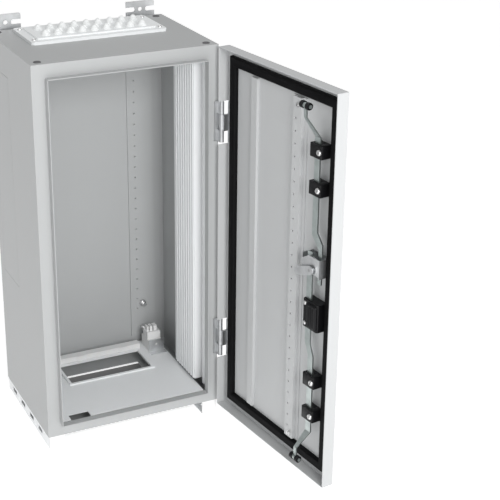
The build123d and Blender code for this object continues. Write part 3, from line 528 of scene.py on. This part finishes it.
lever_low, lever_high = shut("handle_lever")
HUB_R = 0.015
lever = bmesh.new()
hub_profile = [
    (0.0, 0.0), (HUB_R - 0.001, 0.0), (HUB_R, 0.001), (HUB_R, 0.012), (0.85 * HUB_R, 0.015), (0.0, 0.0158),
]
turn(lever, hub_profile, (rose_middle.x, lever_high.y, rose_middle.z), (0, -1, 0), 32)
grip_low = (rose_middle.x - 0.006, lever_low.y + 0.0005, rose_middle.z - 0.010)
grip_high = (lever_high.x, lever_low.y + 0.0095, rose_middle.z + 0.010)
soft_box_shape(lever, grip_low, grip_high, 0.0042, 4)
piece_from(lever, "turned_lever", "handle", black_plastic, ["handle_lever"], on_door=True)

# %% [markdown]
# ## Rod guides
#
# Each guide is a black moulding with rounded corners, a tunnel for the flat rod, and a round
# collar about its screw. A mould has no square edges, so every block here is bevelled. Four
# blocks leave the tunnel between them: a sole on the door, a bridge over the rod, and two cheeks.

# %% Mould the guides
ROD_HALF_WIDTH = 0.0084
ROD_FROM_EDGE = 0.014
CHEEK = 0.006
TUNNEL_DEEP = 0.0093
TUNNEL_SHALLOW = 0.0051

for number in range(1, 5):
    node = f"rod_guide_{number}"
    guide_low, guide_high = shut(node)
    rod_x = guide_high.x - ROD_FROM_EDGE
    rear = guide_high.y - 0.001
    guide = bmesh.new()
    soft_box_shape(guide, (rod_x + ROD_HALF_WIDTH, guide_low.y, guide_low.z), guide_high, 0.0016)
    soft_box_shape(guide, guide_low, (rod_x - ROD_HALF_WIDTH, guide_high.y, guide_high.z), 0.0026, 3)
    soft_box_shape(
        guide, (guide_low.x + CHEEK, guide_low.y, guide_low.z + 0.0008),
        (guide_high.x - 0.001, rear - TUNNEL_DEEP, guide_high.z - 0.0008), 0.0008,
    )
    soft_box_shape(
        guide, (guide_low.x + CHEEK, rear - TUNNEL_SHALLOW, guide_low.z + 0.0002),
        (guide_high.x - 0.0002, guide_high.y, guide_high.z - 0.0002), 0.0018,
    )
    piece_from(guide, f"moulded_guide_{number}", "door", black_plastic, [node], on_door=True)

# %% [markdown]
# ## The lock cover's bulge
#
# The cover of the pinion is deeper on the side of the free edge, where the pinion turns, and it
# rises there in a rounded bulge with three grip ribs. The cover itself is already the right
# shape, so only the bulge is new, and it stands on the cover's face. Wide bevels make it round.

# %% Mould the bulge
BULGE_RISE, BULGE_SUNK, BULGE_ROUND = 0.0040, 0.003, 0.0034
BULGE_LEFT_IN, BULGE_RIGHT_IN, BULGE_END_IN = 0.0012, 0.0150, 0.0030
RIB_PITCH, RIB_HALF, RIB_RISE, RIB_END_IN = 0.0052, 0.0008, 0.0007, 0.0090
bulge_right = case_high.x - BULGE_RIGHT_IN
bulge_top = case_high.y + BULGE_RISE
bulge = bmesh.new()
soft_box_shape(
    bulge, (case_low.x + BULGE_LEFT_IN, case_high.y - BULGE_SUNK, case_low.z + BULGE_END_IN),
    (bulge_right, bulge_top, case_high.z - BULGE_END_IN), BULGE_ROUND, 5,
)
for step in (-1, 0, 1):
    rib_x = (case_low.x + bulge_right) / 2 + step * RIB_PITCH
    soft_box_shape(
        bulge, (rib_x - RIB_HALF, bulge_top - RIB_HALF, case_low.z + RIB_END_IN),
        (rib_x + RIB_HALF, bulge_top + RIB_RISE, case_high.z - RIB_END_IN), 0.0005,
    )
piece_from(bulge, "lock_cover_bulge", "door", black_plastic, [], on_door=True)

# %% [markdown]
# ## Floor and light
#
# A plain pale floor and a pale world keep every colour honest. The floor glows a little, as a lit
# studio sweep does. A grey sheet under the cabinet is painted shadow: it stands in for the shade
# under the cabinet and keeps the floor's glow from shining up through the cable opening. One large
# lamp is in front of the door opening, a second fills from the right, and a third lights the roof.
# Large lamps give soft-edged shadows, like cloth boxes.

# %% Floor, world and lamps
middle = (low + high) / 2

FLOOR_REACH = 12
FLOOR_DROP, SHADE_SHEET_DROP = 0.0005, 0.0002
SHADE_SHEET_IN, SHADE_SHEET_FRONT_IN = 0.012, 0.062


def stage_sheet(name, reach, matrix, material):
    """A flat sheet under the cabinet, which is part of the stage and not of the object."""
    sheet = bmesh.new()
    bmesh.ops.create_grid(sheet, x_segments=1, y_segments=1, size=reach, matrix=matrix)
    mesh = bpy.data.meshes.new(name)
    sheet.to_mesh(mesh)
    sheet.free()
    piece = bpy.data.objects.new(name, mesh)
    bpy.context.collection.objects.link(piece)
    dress(piece, material)


pale_floor = Finish("pale_floor", (0.93, 0.93, 0.93), 0.7)
pale_floor.give("Emission Color", (1.0, 1.0, 1.0, 1.0))
pale_floor.give("Emission Strength", 0.52)
floor_place = Matrix.Translation((0, 0, low.z - FLOOR_DROP))
stage_sheet("studio_floor", FLOOR_REACH, floor_place, pale_floor.material)

# The grey sheet below is painted shadow: a dark card under the cabinet, where there is only shade.
foot_low, foot_high = (Vector(corner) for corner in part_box("floor_pan"))
shade_sheet_low = foot_low.xy + Vector((SHADE_SHEET_IN, SHADE_SHEET_FRONT_IN))
shade_sheet_high = foot_high.xy - Vector((SHADE_SHEET_IN, SHADE_SHEET_IN))
shade_sheet_size = Matrix.Diagonal((*(shade_sheet_high - shade_sheet_low), 1, 1))
shade_sheet_place = Matrix.Translation((*((shade_sheet_low + shade_sheet_high) / 2), low.z - SHADE_SHEET_DROP))
shade_sheet_finish = Finish("painted_shadow_card", (0.30, 0.30, 0.30), 0.8)
stage_sheet("painted_shadow_sheet", 0.5, shade_sheet_place @ shade_sheet_size, shade_sheet_finish.material)

world = bpy.data.worlds.new("pale_room")
world.use_nodes = True
backdrop = world.node_tree.nodes["Background"].inputs
backdrop["Color"].default_value = (1.0, 1.0, 1.0, 1.0)
backdrop["Strength"].default_value = 0.50
bpy.context.scene.world = world
bpy.context.scene.view_settings.view_transform = "Standard"


def soft_box(name, place, size, watts):
    lamp = bpy.data.lights.new(name, "AREA")
    lamp.size = size
    lamp.energy = watts
    holder = bpy.data.objects.new(name, lamp)
    holder.location = place
    holder.rotation_euler = (middle - Vector(place)).to_track_quat("-Z", "Y").to_euler()
    bpy.context.collection.objects.link(holder)


soft_box("key_front", (-0.1, -2.9, 1.6), 1.2, 48)
soft_box("fill_right", (2.6, -1.4, 1.2), 2.0, 1)
soft_box("roof_light", (0.3, 0.4, 3.0), 1.6, 8)
print("lamps:", ", ".join(lamp.name for lamp in bpy.data.lights))

# %% [markdown]
# ## Camera
#
# The cabinet is seen from the left and well above, with a long lens, so its sides stay nearly
# parallel. The camera is given as a place, a turn about Z and a tilt down, and a small shift
# leaves more room on the right, where the door stands out.

# %% Camera
CAMERA_PLACE = (-0.888, -2.409, 1.470)
CAMERA_TURN = radians(24.7)
CAMERA_TILT = radians(21.8)
CAMERA_LENS, CAMERA_SENSOR = 93.6, 36
CAMERA_SHIFT = (0.1, -0.07)

camera = bpy.data.objects.new("camera", bpy.data.cameras.new("camera"))
camera.location = CAMERA_PLACE
camera.rotation_euler = (pi / 2 - CAMERA_TILT, 0, -CAMERA_TURN)
camera.data.lens = CAMERA_LENS
camera.data.sensor_width = CAMERA_SENSOR
camera.data.shift_x, camera.data.shift_y = CAMERA_SHIFT
camera.data.clip_end = 60
bpy.context.collection.objects.link(camera)
bpy.context.scene.camera = camera
print("camera at", tuple(round(value, 3) for value in camera.location))
